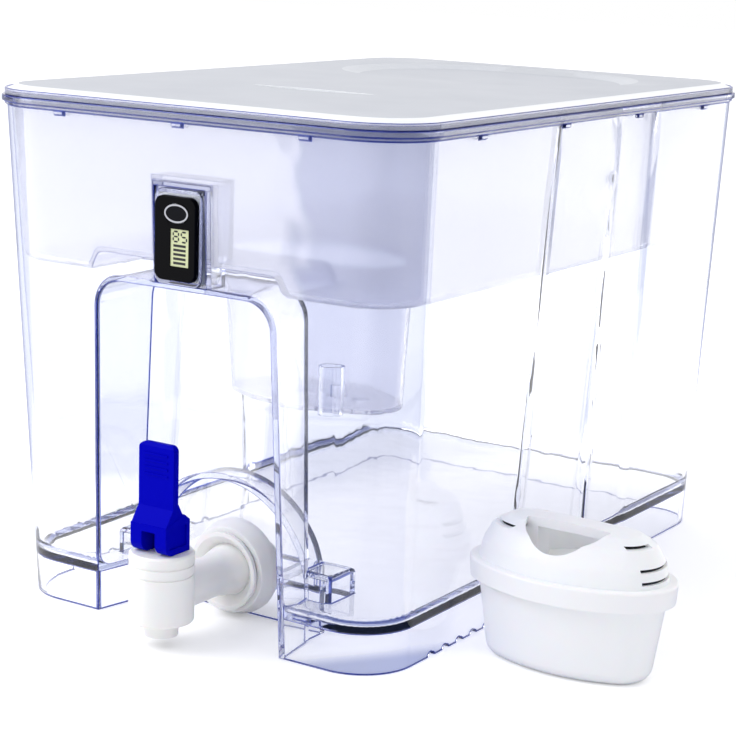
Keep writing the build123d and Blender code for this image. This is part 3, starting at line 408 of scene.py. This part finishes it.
def light_floor():
    """White sweep: it takes the soft shadow, and shows as white to the eye and through clear plastic, with a
    painted glow that is stronger near the tank. Gloss finds a painted glow on the band's side, as of a soft
    box, and painted darker paper on the other side and past the band's ends."""
    made, tree = blank("white paper sweep")
    path = add(tree, "ShaderNodeLightPath")
    place = add(tree, "ShaderNodeTexCoord").outputs["Object"]
    across = add(tree, "ShaderNodeVectorMath", {0: place, 1: TO_PAINTED_GLOW}, operation="DOT_PRODUCT")
    across = across.outputs["Value"]
    along = add(tree, "ShaderNodeVectorMath", {0: place, 1: ALONG_PAINTED_GLOW}, operation="DOT_PRODUCT")
    along = add(tree, "ShaderNodeMath", {0: along.outputs["Value"]}, operation="ABSOLUTE")
    reach = add(tree, "ShaderNodeMath", {
        0: along.outputs[0], 1: BAND_SLANT, 2: across}, operation="MULTIPLY_ADD")
    away = add(tree, "ShaderNodeVectorMath", {0: place}, operation="LENGTH")
    side = add(tree, "ShaderNodeMapRange", {
        "Value": across, "From Min": BAND_EDGE, "From Max": BAND_FULL}, interpolation_type="SMOOTHSTEP")
    end = add(tree, "ShaderNodeMapRange", {
        "Value": reach.outputs[0], "From Min": BAND_END, "From Max": BAND_END_FULL},
        interpolation_type="SMOOTHSTEP")
    far = add(tree, "ShaderNodeMapRange", {
        "Value": away.outputs["Value"], "From Min": NEAR, "From Max": FAR},
        interpolation_type="SMOOTHSTEP")

    # painted shade: gloss sees the paper darker past the band's ends and on its far side
    shade = add(tree, "ShaderNodeMix", {
        0: end.outputs["Result"], 6: linear(PAINTED_SHADE_PAST_END), 7: linear(PAPER)}, data_type="RGBA")
    shade = add(tree, "ShaderNodeMix", {
        0: side.outputs["Result"], 6: linear(PAINTED_PAPER_SHADE), 7: shade.outputs[2]}, data_type="RGBA")
    shade = add(tree, "ShaderNodeMix", {
        0: path.outputs["Is Glossy Ray"], 6: linear(PAPER), 7: shade.outputs[2]}, data_type="RGBA")

    # painted reflection: gloss sees a glowing band of paper, as of a soft box at the back left
    gloss = add(tree, "ShaderNodeMath", {
        0: side.outputs["Result"], 1: far.outputs["Result"]}, operation="MULTIPLY")
    gloss = add(tree, "ShaderNodeMath", {
        0: gloss.outputs[0], 1: end.outputs["Result"]}, operation="MULTIPLY")
    gloss = add(tree, "ShaderNodeMath", {0: gloss.outputs[0], 1: PAINTED_GLOW_IN_GLOSS}, operation="MULTIPLY")
    # painted light: seen through clear plastic, the paper near the tank glows more than far from it
    through = add(tree, "ShaderNodeMapRange", {
        "Value": far.outputs["Result"], "To Min": PAINTED_GLOW_THROUGH_NEAR, "To Max": GLOW_THROUGH_FAR})
    lift = add(tree, "ShaderNodeMath", {
        0: path.outputs["Is Camera Ray"], 1: GLOW_SEEN}, operation="MULTIPLY")
    lift = add(tree, "ShaderNodeMath", {
        0: path.outputs["Is Glossy Ray"], 1: gloss.outputs[0], 2: lift.outputs[0]},
        operation="MULTIPLY_ADD")
    lift = add(tree, "ShaderNodeMath", {
        0: path.outputs["Is Transmission Ray"], 1: through.outputs["Result"], 2: lift.outputs[0]},
        operation="MULTIPLY_ADD")

    paper = add(tree, "ShaderNodeBsdfDiffuse", {"Color": shade.outputs[2]})
    glow = add(tree, "ShaderNodeEmission", {"Color": (1, 1, 1, 1), "Strength": lift.outputs[0]})
    both = add(tree, "ShaderNodeAddShader", {0: paper.outputs[0], 1: glow.outputs[0]})
    add(tree, "ShaderNodeOutputMaterial", {"Surface": both.outputs[0]})
    return made


floor_corners = [
    (-FLOOR_HALF, -FLOOR_HALF, 0), (FLOOR_HALF, -FLOOR_HALF, 0),
    (FLOOR_HALF, FLOOR_HALF, 0), (-FLOOR_HALF, FLOOR_HALF, 0)]
floor = solid_from("floor", floor_corners, [[0, 1, 2, 3]], light_floor())

# world: a white tent lights the object; gloss and clear plastic also find the navy cards that stand at
# both sides, on the camera's side and overhead, which is what draws their edges
CLOTH, CLOTH_CAMERA_SIDE, NAVY_CARD = "#fdfdff", "#b8bcc6", "#0c185c"
TENT_STRENGTH, TENT_THROUGH_PLASTIC = 1.10, 0.95
CAMERA_SIDE = (0.540, -0.842, 0.0)
TWO_SIDES = (0.978, 0.208, 0.0)
OVERHEAD = (0.0, 0.0, 1.0)

world = bpy.data.worlds.new("white tent")
bpy.context.scene.world = world
world.use_nodes = True
tree = world.node_tree
tree.nodes.clear()
path = add(tree, "ShaderNodeLightPath")
toward = add(tree, "ShaderNodeTexCoord").outputs["Generated"]


def card(direction, start, full, both_ways=False):
    """How much of a card that faces the object from this direction a ray meets: none where the cosine
    between the two is at start, all of it at full."""
    facing = add(tree, "ShaderNodeVectorMath", {0: toward, 1: direction}, operation="DOT_PRODUCT")
    facing = facing.outputs["Value"]
    if both_ways:
        facing = add(tree, "ShaderNodeMath", {0: facing}, operation="ABSOLUTE").outputs[0]
    soft = add(tree, "ShaderNodeMapRange", {
        "Value": facing, "From Min": start, "From Max": full}, interpolation_type="SMOOTHSTEP")
    return soft.outputs["Result"]


camera_side = card(CAMERA_SIDE, start=0.45, full=0.85)
two_sides = card(TWO_SIDES, start=0.80, full=0.92, both_ways=True)
overhead = card(OVERHEAD, start=0.55, full=0.85)
cards = add(tree, "ShaderNodeMath", {0: two_sides, 1: camera_side}, operation="MAXIMUM")
cards = add(tree, "ShaderNodeMath", {0: cards.outputs[0], 1: overhead}, operation="MAXIMUM")
# a ray that has already met a matt surface finds only the cloth
shown = add(tree, "ShaderNodeMath", {
    0: path.outputs["Is Glossy Ray"], 1: path.outputs["Is Transmission Ray"]}, operation="MAXIMUM")
direct = add(tree, "ShaderNodeMath", {0: path.outputs["Diffuse Depth"], 1: 0.5}, operation="LESS_THAN")
shown = add(tree, "ShaderNodeMath", {0: shown.outputs[0], 1: direct.outputs[0]}, operation="MULTIPLY")
cards = add(tree, "ShaderNodeMath", {0: cards.outputs[0], 1: shown.outputs[0]}, operation="MULTIPLY")
cloth = add(tree, "ShaderNodeMix", {
    0: camera_side, 6: linear(CLOTH), 7: linear(CLOTH_CAMERA_SIDE)}, data_type="RGBA")
tone = add(tree, "ShaderNodeMix", {
    0: cards.outputs[0], 6: cloth.outputs[2], 7: linear(NAVY_CARD)}, data_type="RGBA")
strength = add(tree, "ShaderNodeMapRange", {
    "Value": path.outputs["Is Transmission Ray"], "To Min": TENT_STRENGTH, "To Max": TENT_THROUGH_PLASTIC})
tent = add(tree, "ShaderNodeBackground", {
    "Color": tone.outputs[2], "Strength": strength.outputs["Result"]})
sheet = add(tree, "ShaderNodeBackground", {"Color": (1, 1, 1, 1), "Strength": 1.0})
seen = add(tree, "ShaderNodeMixShader", {
    0: path.outputs["Is Camera Ray"], 1: tent.outputs[0], 2: sheet.outputs[0]})
add(tree, "ShaderNodeOutputWorld", {"Surface": seen.outputs[0]})

# key lamp: a soft box at the front left, high up
KEY_PLACE = Vector((-1.2, -1.0, 1.5))
KEY_AIM = Vector((0, 0, 0.1))
KEY_SIZE, KEY_POWER = 1.2, 17

lamp = bpy.data.lights.new("key", "AREA")
lamp.shape = "RECTANGLE"
lamp.size = KEY_SIZE
lamp.size_y = KEY_SIZE
lamp.energy = KEY_POWER
key = bpy.data.objects.new("key", lamp)
key.location = KEY_PLACE
key.rotation_euler = (KEY_AIM - KEY_PLACE).to_track_quat("-Z", "Y").to_euler()
bpy.context.scene.collection.objects.link(key)

# ---------------------------------------------------------------- camera
CAMERA_PLACE = (0.52351, -0.89675, 0.33569)
CAMERA_AZIMUTH, CAMERA_PITCH, CAMERA_ROLL = 32.68, 12.31, 1.92
CAMERA_LENS, CAMERA_SENSOR = 99.68, 36.0
NEAREST, FARTHEST = 0.05, 20.0
LIGHT_BOUNCES, GLOSS_BOUNCES = 32, 12

view = bpy.data.cameras.new("camera")
view.lens = CAMERA_LENS
view.sensor_width = CAMERA_SENSOR
view.clip_start = NEAREST
view.clip_end = FARTHEST
camera = bpy.data.objects.new("camera", view)
turn = Euler((radians(90 - CAMERA_PITCH), 0, radians(CAMERA_AZIMUTH))).to_matrix()
turn = turn @ Matrix.Rotation(radians(CAMERA_ROLL), 3, "Z")
camera.matrix_world = Matrix.Translation(CAMERA_PLACE) @ turn.to_4x4()
bpy.context.scene.collection.objects.link(camera)
bpy.context.scene.camera = camera
bpy.context.scene.view_settings.view_transform = "Standard"
# the clear walls are crossed many times before a ray leaves the tank
paths = bpy.context.scene.cycles
paths.max_bounces = LIGHT_BOUNCES
paths.transmission_bounces = LIGHT_BOUNCES
paths.transparent_max_bounces = LIGHT_BOUNCES
paths.glossy_bounces = GLOSS_BOUNCES
